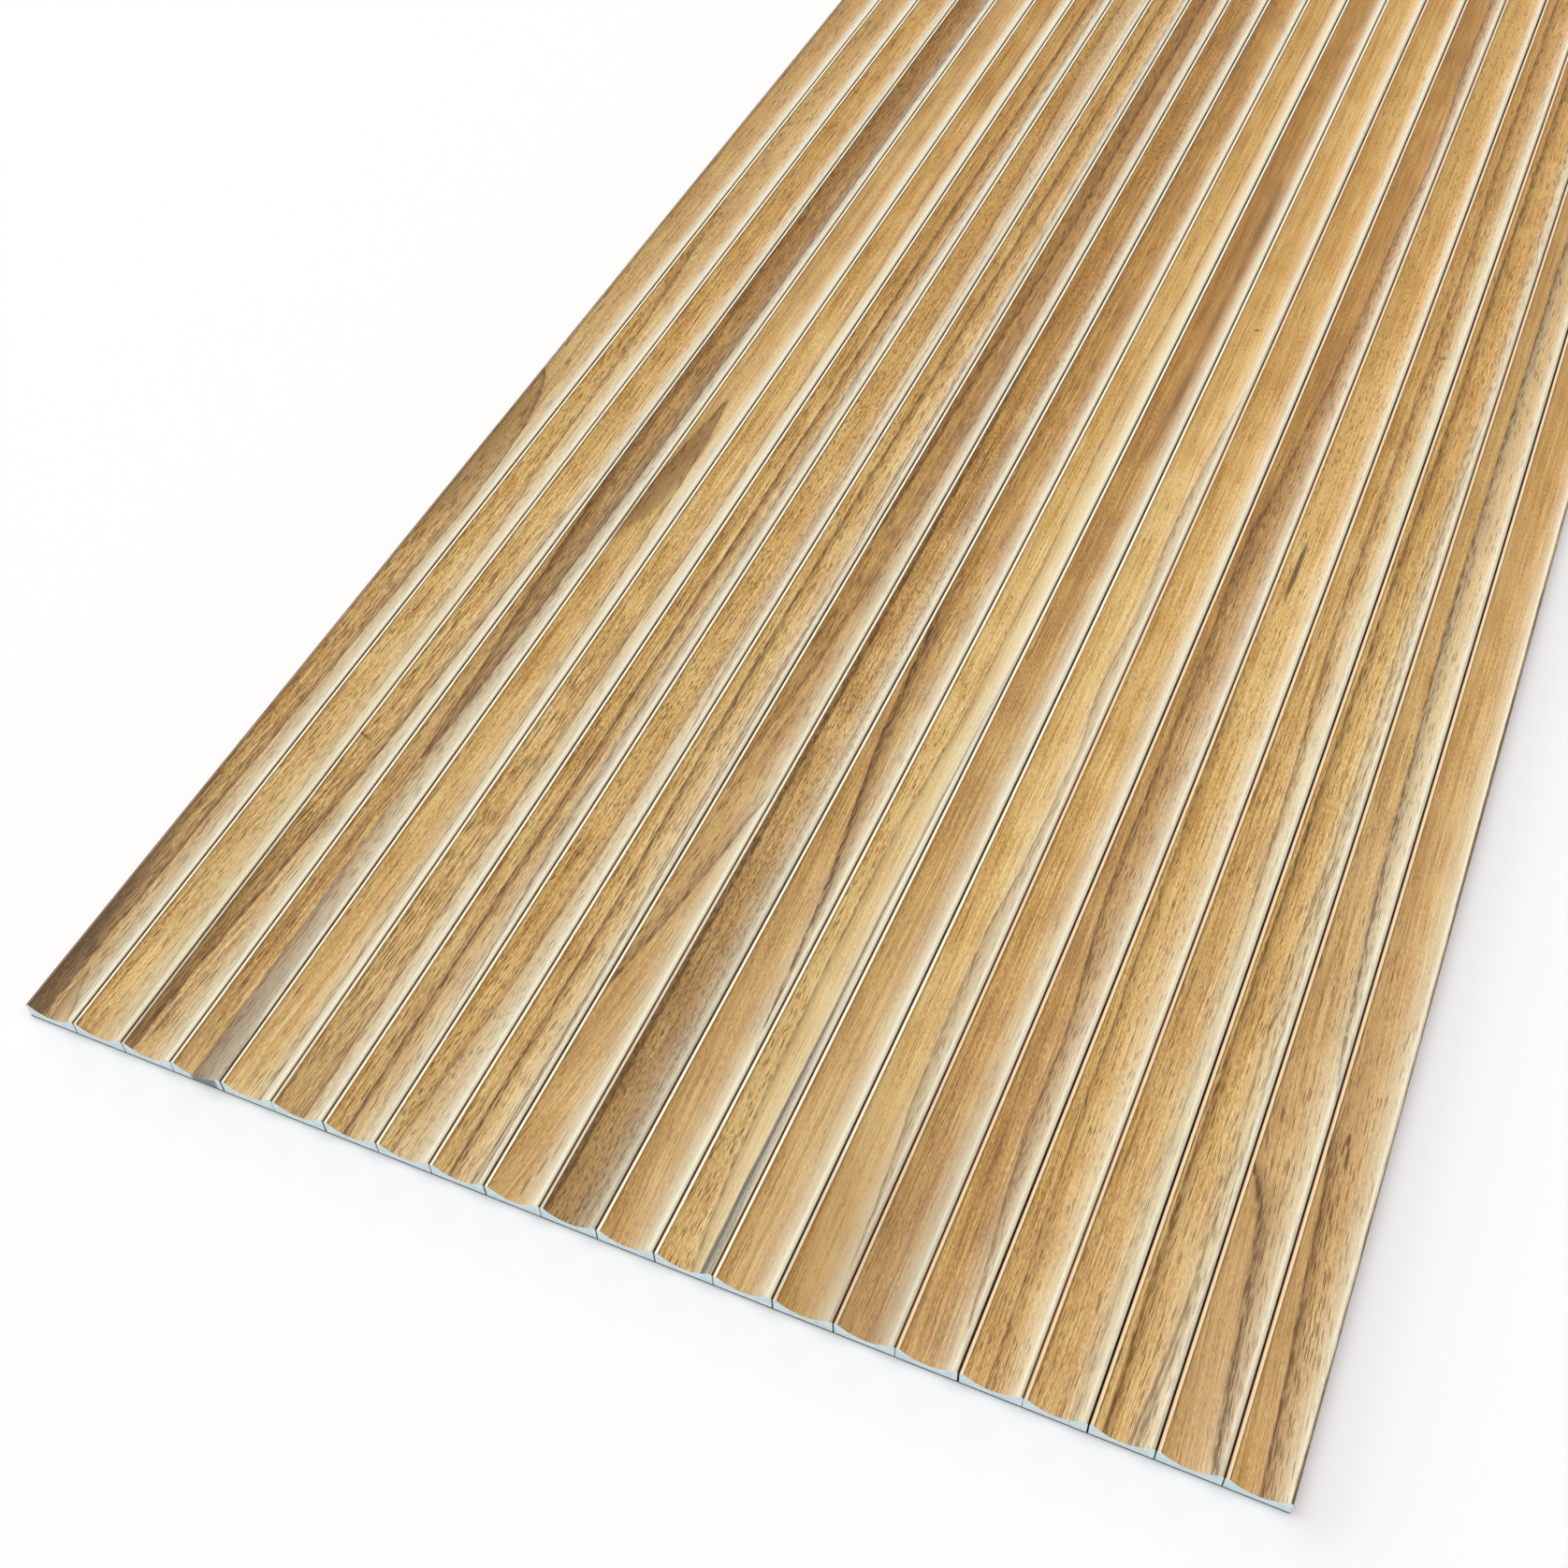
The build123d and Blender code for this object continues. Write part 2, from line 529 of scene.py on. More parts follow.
# The left side of the dark tip on the fifth slat, which its ring and its stain share
TIP_LEFT_SIDE = [(0, -22), (380, -20), (431, -12.4), (464, -10.6), (502, -8), (529, -5.4), (538, 22)]
SLAT_LOOKS = [
    look(
        tone=-0.02, far_tone=0.08, tan=0.15, lean=0.03, grain=1.2, pores=0.35, far_pores=-0.2, rim=UMBER,
        rings=[
            ring(to=[(0, -6), (60, -4.5), (150, -2.5), (250, 0), (350, 2.5), (410, 3.2), (450, 1),
                     (480, -2.5), (500, -7), (515, -14), (530, -22)],
                 dark=0.7, wash=BROWN, share=0.1, pores=0.5, beyond=0.1),
            ring(to=[(0, 9.6), (10, 6), (22, 1), (33, -2), (36, -22)],
                 start=[(0, -1.8), (15, -2.4), (33, -1.7), (36, 22)],
                 dark=0.6, wash=TAN, share=0.8, pores=-1.0),
        ],
        stains=[
            stain(to=[(0, -5), (60, -7), (150, -9), (300, -12)], share=0.9, soft=2.5, fade=(30, 240)),
            stain(to=[(0, -22), (250, -20), (350, -11), (430, -3), (460, -3), (500, -8), (515, -14),
                      (520, -22)],
                  wash=RING_LINE, share=0.5, soft=6.0, fade=(505, 515)),
        ],
    ),
    look(
        tone=0.1, lean=0.04, grain=1.1, pores=0.2, dash=8.0,
        rings=[ring(to=[(0, 8), (150, 5.5), (300, 5), (400, 2.2), (430, 0), (500, -1.2), (560, -3),
                        (620, -5.8), (700, -10), (760, -22)],
                    dark=0.5, wash=BROWN, share=0.05, beyond=0.12)],
        stains=[stain(start=[(0, -3), (300, 2)], wash=PALE_TAN, share=0.4, soft=6.0, fade=(200, 500))],
    ),
    look(
        tone=0.07, far_tone=0.03, lean=0.05, grain=1.3, pores=0.4, far_pores=-0.3, dash=12.0,
        rings=[ring(to=[(0, -8.7), (55, -6.7), (98, -4.6), (142, -2.1), (180, 0), (284, 3.9), (338, 5.7),
                        (393, 8.2), (470, 13)],
                    dark=0.85, thick=1.2, wash=GOLDEN, share=0.15, pores=0.5, beyond=0.06)],
        stains=[stain(to=[(0, -8), (140, -9.5), (200, -13)], share=0.5, soft=1.5, fade=(60, 220))],
        marks=[mark(207, -12.6, 3, 3), mark(207, -9.2, 2.5, 6, 0.6)],
    ),
    look(
        tone=0.0, far_tone=-0.12, tan=0.12, lean=0.02, pores=0.2,
        rings=[
            ring(start=[(0, -2.7), (130, -2.7), (200, -3), (250, -1), (330, 1), (400, 2.4), (460, 3.5),
                        (600, 5), (900, 7)],
                 dark=0.4, band=30.0, wash=PALE_WOOD_AND_SHEEN, share=0.35, pores=0.4),
            ring(to=[(0, -22), (195, -22), (205, -3.6), (250, -1), (330, 1), (400, 2.4), (460, 3.5),
                     (600, 5), (900, 7)],
                 start=[(0, 22), (195, 22), (205, -4), (270, -6.5), (330, -9), (390, -10.5), (500, -14)],
                 dark=0.85, band=14.0, wash=RING_LINE, share=0.3, pores=0.6),
        ],
        stains=[stain(start=[(0, -2.7), (200, -2.7)], to=[(0, 14), (40, 12), (200, 11.5)],
                      wash=GREY_BROWN, share=0.65, soft=0.4, fade=(0, 190))],
    ),
    look(
        tone=0.06, lean=0.03, grain=0.9, pores=0.0,
        rings=[ring(to=[(0, 7.5), (200, 7.2), (330, 4.9), (382, 3.6), (464, 1), (513, -2.8), (530, -4.9),
                        (538, -22)],
                    start=TIP_LEFT_SIDE,
                    dark=0.6, wash=BROWN, share=0.0, beyond=0.1)],
        stains=[stain(to=[(0, -22), (300, -22), (400, -9), (464, 0), (513, -2.8), (530, -5), (538, -22)],
                      start=TIP_LEFT_SIDE,
                      wash=RING_LINE, share=0.6, soft=3.5, fade=(560, 570))],
    ),
    look(
        tone=0.12, far_tone=-0.04, lean=0.02, grain=1.3, pores=0.5, far_pores=-0.6, dash=12.0,
        rings=[ring(to=[(0, 2.6), (330, 2.6), (420, 4.5), (600, 4.5), (900, 2)],
                    dark=0.6, wash=GOLDEN, share=0.1, pores=0.2, beyond=0.1)],
        stains=[stain(to=[(0, 3), (100, 3)], wash=RING_SHADE, share=0.3, soft=3.0, fade=(0, 90))],
    ),
    look(
        tone=0.03, grain=1.2, pores=0.2,
        rings=[
            ring(start=[(0, -3.9), (600, -3.6), (1000, -2.5)],
                 dark=0.9, thick=1.1, band=5, wash=BROWN, share=0.1),
            ring(start=[(0, 12), (110, 9), (160, 6.5), (220, 4.6), (650, 4.4), (1000, 6)],
                 dark=0.65, thick=1.4, wash=PALE_WOOD_AND_SHEEN, share=0.45),
        ],
    ),
    look(
        tone=0.08, lean=0.04, pores=0.25, dash=5.0,
        rings=[
            ring(to=[(0, -5.5), (49, -3.7), (109, -0.4), (218, 2.7), (327, 3.4), (382, 4.7), (550, 4),
                     (800, 0), (1000, -6)],
                 dark=0.45, wash=GOLDEN, share=0.1, pores=0.2, beyond=0.22),
            ring(start=[(0, 16), (250, 11), (330, 6), (450, 5.5), (550, 7), (700, 9)],
                 dark=0.55, wash=TAN, share=0.35),
        ],
    ),
    look(
        tone=0.12, grain=1.1, pores=0.25, dash=9.0,
        rings=[
            ring(start=[(0, -4.6), (147, -4.6), (218, -5.7), (349, -7.2), (490, -6.4), (900, -5)],
                 dark=0.85, thick=1.0, band=4, wash=GOLDEN, share=0.1, pores=0.4),
            ring(start=[(0, 7), (100, 8.4), (200, 7.6), (300, 6.8), (400, 8.6), (500, 6.8), (600, 8.2),
                        (850, 8)],
                 dark=0.85, wash=TAN, share=0.3),
            ring(start=[(0, 10), (120, 9.6), (240, 10.2), (330, 9), (420, 10.6), (540, 9.4), (640, 10.4)],
                 dark=0.8, wash=PALE_WOOD_AND_SHEEN, share=0.3),
        ],
    ),
    look(
        tone=0.0, far_tone=-0.18, tan=0.12, lean=0.12, grain=0.85, pores=0.05,
        rings=[
            ring(to=[(0, -22), (100, -15), (109, -12.4), (142, -7.2), (175, -2), (207, 3.1), (235, 8.2),
                     (290, 16)],
                 dark=0.65, thick=1.4, pores=0.6, wash=TAN),
            ring(to=[(0, -22), (245, -15), (262, -11), (305, -7.2), (371, -2), (600, 5)],
                 dark=0.5, wash=BROWN),
            ring(to=[(0, -22), (430, -14), (447, -11), (600, -8), (800, -4.3)],
                 dark=0.7, thick=1.5, wash=BROWN),
        ],
        marks=[mark(9, 1.5, 14, 1.6, 0.6), mark(20, 4.0, 14, 1.6, 0.6), mark(30, 6.5, 12, 1.6, 0.5)],
    ),
    look(
        tone=-0.05, far_tone=-0.08, pores=0.4, far_pores=-0.15, dash=4.0,
        rings=[
            ring(to=[(0, -10), (500, -9.5), (620, -11), (700, -18)],
                 dark=0.85, thick=1.4, band=3, pores=0.6, share=0.1),
            ring(start=[(0, 6.4), (560, 6), (700, 4.7), (950, 1.5)], dark=0.45),
        ],
        stains=[stain(start=WHOLE_WIDTH, wash=UMBER, share=0.35, fade=(60, 330))],
    ),
    look(
        tone=-0.05, far_tone=-0.08, tan=0.1, lean=-0.06, grain=0.85, pores=0.0,
        rings=[ring(start=[(0, 22), (90, 16), (109, 12), (160, 8), (207, 4.4), (262, -2), (316, -7.2),
                           (393, -11), (450, -16)],
                    dark=1.0, thick=2.0, wash=GOLDEN, share=0.15, pores=0.5)],
    ),
    look(
        tone=0.12, far_tone=0.06, lean=-0.02, pores=0.3, far_pores=-0.3, dash=6.0,
        rings=[ring(start=[(0, 3.1), (60, -1.8), (120, -3.6), (250, -4.4), (290, -2.6), (350, -0.5), (450, 0),
                           (600, -1.5), (760, 2.3)],
                    dark=0.55, band=20.0, share=0.25, pores=-0.6)],
        stains=[
            stain(start=[(0, 7.3), (60, 7.5), (100, 8.2), (200, 8.6), (300, 9.6), (390, 11.6), (430, 14)],
                  to=[(0, 9.4), (60, 9.4), (100, 10), (200, 10.2), (300, 11.2), (390, 13.2), (430, 14)],
                  wash=SLATE, share=1.0, soft=0.4, fade=(200, 460)),
            stain(start=[(0, 8), (100, 8.6), (200, 9.4)], to=[(0, 12.4), (200, 12)],
                  wash=SLATE, share=0.8, soft=0.8, fade=(60, 240)),
        ],
    ),
    look(
        tone=-0.02, far_tone=-0.14, tan=0.08, grain=0.8, pores=0.0,
        stains=[stain(start=[(560, -2), (640, -1), (900, -2)], to=[(560, -2), (600, 4), (850, 5), (900, -2)],
                      wash=RING_SHADE, share=0.5, soft=2.0, fade=(900, 950))],
        marks=[mark(636, 2.0, 56, 5, 0.45), mark(715, 1.6, 50, 4, 0.45), mark(765, 2.0, 34, 4, 0.45),
               mark(820, 2.2, 80, 6, 0.5)],
    ),
    look(
        tone=0.12, far_tone=0.06, lean=-0.02, grain=0.85, pores=0.0,
        rings=[ring(start=[(0, 12), (90, 7), (110, 5.1), (200, 3), (260, 6.3), (330, 7.6), (390, 3.7),
                           (450, 6), (500, 4.2), (600, 7.6), (680, 12)],
                    dark=0.5, band=16.0, wash=SAND_GREY, share=0.55)],
        stains=[stain(start=WHOLE_WIDTH, wash=RING_SHADE, share=0.35, fade=(20, 160))],
        marks=[mark(712, 1.1, 3, 4)],
    ),
    look(
        tone=-0.05, far_tone=0.15, tan_and_sheen=ROSE_TAN, grain=0.85, pores=0.05, rim=RIM_PEACH,
        stains=[stain(start=WHOLE_WIDTH, wash=GREY_BROWN, share=0.25, fade=(40, 190))],
    ),
    look(
        tone=-0.06, far_tone=-0.08, tan=0.1, tan_and_sheen=ROSE_TAN, lean=-0.05, grain=0.9, pores=-0.05, dash=8.0,
        rim=RIM_PEACH,
        rings=[ring(start=[(0, 14), (20, 10), (60, 6.2), (100, 2.3), (130, 0.6), (160, 0.6), (200, -1.5),
                           (230, -4.1), (260, -5.9), (300, -6.7), (400, -6.8), (520, -8.4), (560, -5.4),
                           (600, -4), (700, 1.1), (850, 3.2), (930, 6.4), (1100, 3)],
                    dark=0.65, thick=1.2, wash=TAN, share=0.25, pores=0.6, band=14)],
    ),
    look(
        tone=0.06, far_tone=0.08, tan_and_sheen=ROSE_TAN, lean=-0.03, pores=0.12, dash=6.0, rim=RIM_PEACH,
        rings=[ring(start=[(0, -1.9), (50, -3.4), (110, -6), (180, -7.7), (260, -9.8), (370, -11.6),
                           (600, -16)],
                    dark=0.65, wash=GOLDEN, share=0.3, pores=0.1)],
        marks=[mark(509, -5.2, 64, 4.0, 0.8)],
    ),
    look(
        tone=0.06, tan=0.06, tan_and_sheen=ROSE_TAN, pores=0.15, rim=RIM_PEACH,
        rings=[ring(start=[(0, 6.8), (220, 6.4), (330, 3.6), (400, 1), (450, -1.5), (600, -2.8), (800, -3),
                           (1000, -6)],
                    dark=0.6, band=16.0, wash=TAN, share=0.2)],
        stains=[stain(start=[(0, 6.8), (220, 6.4), (330, 6.2), (450, 5.4), (600, 5.2), (900, 5)],
                      to=[(0, 11.6), (900, 11.6)], wash=PALE_CREAM, share=0.5, soft=0.8, fade=(900, 1100))],
        marks=[mark(95, -12.0, 70, 1.8, 0.8), mark(220, -12.0, 100, 1.8, 0.8), mark(725, 4.0, 5, 11, 0.6)],
    ),
    look(
        tone=0.1, tan_and_sheen=ROSE_TAN, pores=0.15, dash=10.0, rim=RIM_PEACH,
        rings=[
            ring(start=[(0, -8), (130, -9.6), (450, -9.6), (700, -8)],
                 dark=0.7, thick=1.4, band=4, wash=GOLDEN, share=0.2),
            ring(start=[(0, 5), (100, 7), (230, 3.5), (350, 5), (500, 4), (700, 7)],
                 dark=0.45, wash=PALE_TAN, share=0.4),
            ring(start=[(0, 12), (160, 10), (300, 7.5), (420, 9), (560, 7.5), (700, 11)],
                 dark=0.45, wash=PALE_WOOD_AND_SHEEN, share=0.3),
        ],
        stains=[
            stain(start=[(0, 2.5), (90, 7.5)], to=[(0, 4), (90, 8.6)],
                  wash=GREY_BROWN, share=0.8, soft=0.6, fade=(50, 110)),
            stain(start=[(0, 5.4), (70, 9)], to=[(0, 7), (70, 10.2)],
                  wash=GREY_BROWN, share=0.7, soft=0.7, fade=(40, 90)),
        ],
    ),
    look(
        tone=0.03, tan=0.2, tan_and_sheen=ROSE_TAN, lean=-0.08, pores=-0.05, far_pores=-0.2,
        rim=RIM_PEACH,
        rings=[
            ring(start=[(0, 9.5), (10, 7.7), (60, 2.6), (110, -2.6), (125, -6.4), (135, -10.3), (150, -22)],
                 dark=0.8, thick=2.8, share=0.2, pores=0.8),
            ring(start=[(0, 22), (170, 16), (190, 11.6), (240, 7.7), (300, 3.9), (340, 2.6), (400, 0.8),
                        (450, -1.3), (550, -2.6)],
                 dark=0.8, thick=1.4, wash=PALE_CREAM, share=0.5, pores=0.4),
        ],
    ),
    look(
        tone=0.03, far_tone=0.02, tan=0.2, tan_and_sheen=ROSE_TAN, lean=-0.07, grain=0.9, pores=-0.05, far_pores=-0.8,
        rim=RIM_PEACH,
        rings=[ring(start=[(0, 0.8), (50, -2.1), (90, -5.4), (130, -8), (170, -14), (200, -20)],
                    dark=0.8, thick=1.5, wash=TAN, share=0.15, pores=0.9, band=16.0)],
        # Painted shade darkens the outer right edge of the last slat, the panel's side away from the window
        stains=[stain(start=[(0, 12.5), (600, 12.5)], wash=RIM_SHADE, share=0.9, soft=0.3, fade=NO_FADE)],
        marks=[mark(158, -3.0, 14, 2.0, 0.8), mark(167, -4.4, 9, 2.4, 0.8)],
    ),
]


def swing(cloud, reach):
    """A noise's swing to both sides of nothing, over this reach."""
    return (cloud - 0.5) * reach


def flat_noise(place, size, shift, detail, roughness=0.5):
    """Cloud noise on the slat's face, with features of this size across and along."""
    return noise(place, (1 / size[0], 1 / size[1], 0.0), shift, detail, roughness, "2D")


def wood_grain(place, drawn, shift):
    """The wood's figure. None of its lines is ruled: they drift and tremble, and lean at the near end."""
    across, along, _ = split(place)
    drift = flat_noise(place, DRIFT, shift, 2.0)
    tremble = flat_noise(place, TREMBLE, shift, 3.0, 0.6)
    bent = across + swing(drift, DRIFT_REACH) + swing(tremble, TREMBLE_REACH)
    near = along.maths("MINIMUM", along, LEAN_REACH)
    leaning = bent - near * (1 - near / (2 * LEAN_REACH)) * drawn["lean"]
    wood = place.node("CombineXYZ", {}, {0: leaning, 1: along})
    streaks = flat_noise(wood, STREAK, shift, 5.0, 0.6)
    fibres = flat_noise(wood, FIBRE, shift, 3.0, 0.6)
    flecks = flat_noise(wood, FLECK, shift, 2.0, 0.55)
    return {
        "across": across,
        "along": along,
        "bent": bent,
        "wood": wood,
        "streaks": streaks,
        "fibres": fibres,
        "flecks": flecks,
        "ribbons": flat_noise(wood, RIBBON, shift, 1.0),
        "patches": flat_noise(wood, PATCH, shift, 2.0),
        "breaks": flat_noise(wood, LINE_BREAK, shift, 2.0),
        "uneven": 0.85 + swing(flecks, 0.9) + swing(fibres, 1.1) + swing(streaks, 1.1),
        "far": step(along, *FAR_WOOD),
    }


def ground_colour(grain, drawn):
    """The wood between the rings, from its grain. Painted sheen makes its near end paler, and painted shade
    makes its far end darker and more amber.
    """
    along = grain["along"]
    tone = GROUND_TONE + drawn["tone"] + grain["far"] * drawn["far_tone"]
    tone = tone + step(along, *SHADED_WOOD, 0.0, SHADED_TONE)
    tone = tone + swing(grain["streaks"], STREAK_TONE)
    tone = tone + swing(grain["ribbons"], RIBBON_TONE) + swing(grain["patches"], PATCH_TONE)
    tone = tone + (swing(grain["fibres"], FIBRE_TONE) + swing(grain["flecks"], FLECK_TONE)) * drawn["grain"]
    colour = tone.node("ValToRGB", {"stops": GROUND}, {"Fac": tone})
    # Painted sheen: the wood pales more toward the near end
    tan_and_near_sheen = step(along, *NEAR_SHEEN_REACH, drawn["tan"] + NEAR_SHEEN_MORE, drawn["tan"])
    colour = mix(step(grain["patches"], 0.3, 0.7, 0.5, 1.5) * tan_and_near_sheen, colour, drawn["tan_and_sheen"])
    return mix(step(along, *AMBER_WOOD, 0.0, AMBER_SHARE), colour, AMBER)


def painted_sheen_share(grain, number):
    """Painted sheen, which grows up the right flank that faces the window."""
    across = grain["across"]
    stops = [((u + HALF_WIDTH) / (2 * HALF_WIDTH), share) for u, share in SHEEN_ACROSS]
    early_by = SHEEN_SHIFT * (len(SLAT_NAMES) / 2 - number)
    width_share = (across + HALF_WIDTH + early_by) / (2 * HALF_WIDTH)
    painted_sheen = across.node("FloatCurve", {"points": stops}, {"Value": width_share})
    painted_sheen = painted_sheen * (0.8 + grain["ribbons"] * 0.4)
    late_by = SHEEN_NARROWED_SHIFT * number
    narrowed_sheen = step(across, SHEEN_NARROWED[0] + late_by, SHEEN_NARROWED[1] + late_by, 0.0, SHEEN_NARROWED_SHARE)
    return painted_sheen + (narrowed_sheen - painted_sheen) * step(grain["along"], *SHEEN_NARROWING)


def band_depth(grain, lines):
    """How deep in millimetres a place lies between a patch's two lines. It is negative outside."""
    along = grain["along"]
    depths = []
    for points, hand in ((lines["start"], 1), (lines["to"], -1)):
        if points:
            stops = [(v / FIGURE_REACH, 0.5 + u / FIGURE_SPAN) for v, u in points]
            if stops[-1][0] < 1:
                stops.append((1.0, stops[-1][1]))
            curve = along.node("FloatCurve", {"points": stops}, {"Value": along / FIGURE_REACH})
            line = (curve - 0.5) * FIGURE_SPAN
            depths.append((grain["bent"] - line) * hand)
    if len(depths) == 1:
        return depths[0]
    return along.maths("MINIMUM", depths[0], depths[1])


def draw_rings(colour, grain, rings, painted_sheen):
    """Draws the growth rings, and says how much more porous they make the wood."""
    porous = 0.0
    for band in rings:
        dark = band["dark"]
        thick = band["thick"]
        depth = band_depth(grain, band)
        ragged = depth + swing(grain["fibres"], RAGGED_REACH * thick)
        early = step(depth, -0.3, 0.5) * step(depth, 0.0, band["band"], 1.0, 0.35)
        shade = step(ragged, -0.6 * thick, 0.3) * step(ragged, 0.4, 5.0 * thick, 1.0, 0.0)
        line = step(depth, -0.5 * thick, 0.2) * step(ragged, 0.4 * thick, 1.4 * thick, 1.0, 0.0)
        broken = step(grain["breaks"], 0.38, 0.58, 0.15, 1.0)
        colour = mix(step(depth, -0.6, 0.2, band["beyond"], 0.0), colour, PALE_WOOD_AND_SHEEN)
        colour = mix(early * band["share"], colour, band["wash"])
        colour = mix(shade * grain["uneven"] * (1 - painted_sheen * 0.6) * (0.6 * dark), colour, RING_SHADE)
        colour = mix(line * broken * dark, colour, RING_LINE)
        porous = porous + early * band["pores"] + shade * (0.3 * dark)
    return colour, porous


def draw_marks(colour, grain, marks):
    """Draws the knots and bruises."""
    for spot in marks:
        off_across = (grain["bent"] - spot["across"]) / (spot["width"] / 2)
        off_along = (grain["along"] - spot["along"]) / (spot["length"] / 2)
        inside = step(off_across * off_across + off_along * off_along, 0.2, 1.0, 1.0, 0.0)
        colour = mix(inside * spot["share"] * grain["uneven"], colour, KNOT_BROWN)
    return colour


def dashes(place, size, shift, share):
    """Short dashes along the grain, one to a cell, in as many of the cells as the share says."""
    cells = stretch(place, (1 / size[0], 1 / size[1], 0.0), shift)
    off_centre = cells.node("TexVoronoi", {"voronoi_dimensions": "2D"}, {"Vector": cells, "Scale": 1.0})
    chance = split(Value(off_centre.socket.node.outputs["Color"]))[0]
    return step(off_centre, *PORE_EDGE, 1.0, 0.0) * step(chance - share, -0.05, 0.05, 1.0, 0.0)


def open_pores(grain, drawn, porous, shift):
    """Where the pores are: fine ones all over, and coarse ones where the rings are porous."""
    share = grain["patches"] * 0.3 + grain["far"] * drawn["far_pores"] + drawn["pores"] - 0.15 + porous
    fine_size = (FINE_PORE[0], FINE_PORE[1] * drawn["dash"])
    coarse_size = (COARSE_PORE[0], COARSE_PORE[1] * drawn["dash"])
    fine = dashes(grain["wood"], fine_size, shift, 0.08 + share * 0.45)
    coarse = dashes(grain["wood"], coarse_size, shift, share - 0.03)
    return fine.maths("MAXIMUM", fine * 0.6, coarse)


def rims_with_painted_light(colour, grain, rim_colour, number):
    """Pale left rims, partly bare wood and partly painted highlight, a painted shade line inside them, and a
    painted highlight on the right edge.
    """
    across = grain["across"]
    # A painted shade line where the left rim meets the cove
    left_edge = step(across, -RIM_EDGE - 0.05, -RIM_EDGE + 0.25)
    cove_shade_line = left_edge * step(across, -RIM_EDGE + 0.25, -RIM_EDGE + 1.05, 1.0, 0.0)
    colour = mix(cove_shade_line * COVE_SHADE_SHARE, colour, RIM_SHADE)
    # The left rim is pale, partly bare wood and partly painted highlight
    left_rim = step(across, -RIM_EDGE - 0.25, -RIM_EDGE + 0.05, LEFT_RIM_SHARE, 0.0)
    colour = mix(left_rim, colour, rim_colour)
    # Painted highlight up the right edge of the cove and over its rim, a little weaker on each slat to the
    # right
    right_highlight = RIGHT_HIGHLIGHT_SHARE - RIGHT_HIGHLIGHT_LOSS * number
    return mix(step(across, RIM_EDGE - 1.55, RIM_EDGE + 0.05, 0.0, right_highlight), colour, RIM_CREAM)


def draw_stains(colour, grain, stains):
    """Draws the stains, which run over the rims too."""
    for patch in stains:
        depth = band_depth(grain, patch)
        inside = step(depth, -patch["soft"], patch["soft"])
        inside = inside * step(grain["along"], *patch["fade"], 1.0, 0.0)
        colour = mix(inside * patch["share"] * grain["uneven"], colour, patch["wash"])
    return colour


def wood_finish(number, centre, drawn):
    """One slat's wood, from millimetres across, along and up from the near end of its own middle line."""
    material, shader, place = new_finish(f"slat_wood_{number:02d}")
    near_end = (centre, -SLAT_LENGTH / 2, SLAT_BACK)
    place = place.node("VectorMath", {"operation": "SUBTRACT"}, {0: place, 1: near_end})
    place = place.node("VectorMath", {"operation": "SCALE"}, {0: place, "Scale": MILLIMETRES})
    shift = (number * 31.7, number * 13.3, 0.0)  # so that no two slats are alike
    grain = wood_grain(place, drawn, shift)
    fibres = grain["fibres"]
    flecks = grain["flecks"]

    # Painted sheen pales the right flank of the cove
    painted_sheen = painted_sheen_share(grain, number)
    colour = mix(painted_sheen * (0.7 + fibres * 0.3 + flecks * 0.3), ground_colour(grain, drawn), PALE_WOOD_AND_SHEEN)
    colour, porous = draw_rings(colour, grain, drawn["rings"], painted_sheen)
    colour = draw_marks(colour, grain, drawn["marks"])
    pore = open_pores(grain, drawn, porous, shift)
    colour = mix(pore * (PORE_SHARE - painted_sheen * 0.4), colour, PORE_BROWN)
    colour = rims_with_painted_light(colour, grain, drawn["rim"], number)
    colour = draw_stains(colour, grain, drawn["stains"])

    # Painted shade darkens the arrises, and the faces in the joint are painted brown, partly dirt and partly
    # painted shade, and dull
    off_middle = abs(grain["across"])
    arris_shade = step(off_middle, HALF_WIDTH - 1.0, HALF_WIDTH - 0.3)
    colour = mix(arris_shade * ARRIS_SHADE_SHARE, colour, RIM_SHADE)
    joint_dirt_and_shade = step(off_middle, HALF_WIDTH - 0.35, HALF_WIDTH - 0.1)
    colour = mix(joint_dirt_and_shade * JOINT_SHARE, colour, JOINT_BROWN)

    feed(shader, "Base Color", colour)
    feed(shader, "Roughness", 0.55 + pore * 0.2 + swing(fibres, 0.15))
    feed(shader, "Coat Weight", 0.5 - joint_dirt_and_shade * 0.5)
    relief = fibres * 0.06 + flecks * 0.05 - pore * 0.15
    bump = relief.node("Bump", {}, {"Strength": 0.7, "Distance": 0.001, "Height": relief})
    feed(shader, "Normal", bump)
    shader.inputs["Specular IOR Level"].default_value = 0.3
    shader.inputs["Coat Roughness"].default_value = 0.5
    return material


END_PALE = (238, 252, 254)
END_BLUE = (222, 244, 250)
END_GREY = (150, 174, 184)
END_PORE = (112, 128, 138)
END_BLACK = (44, 52, 62)
END_CLOUD_SCALE = (0.11, 0.02, 0.25)  # this and the next two are to a millimetre
END_ARC_SCALE = (0.2, 0.02, 0.8)
END_FUZZ_SCALE = (1.6, 1.0, 1.6)
CHARRED_ACROSS = (-208.0, -193.0)  # millimetres, on the near end of one slat


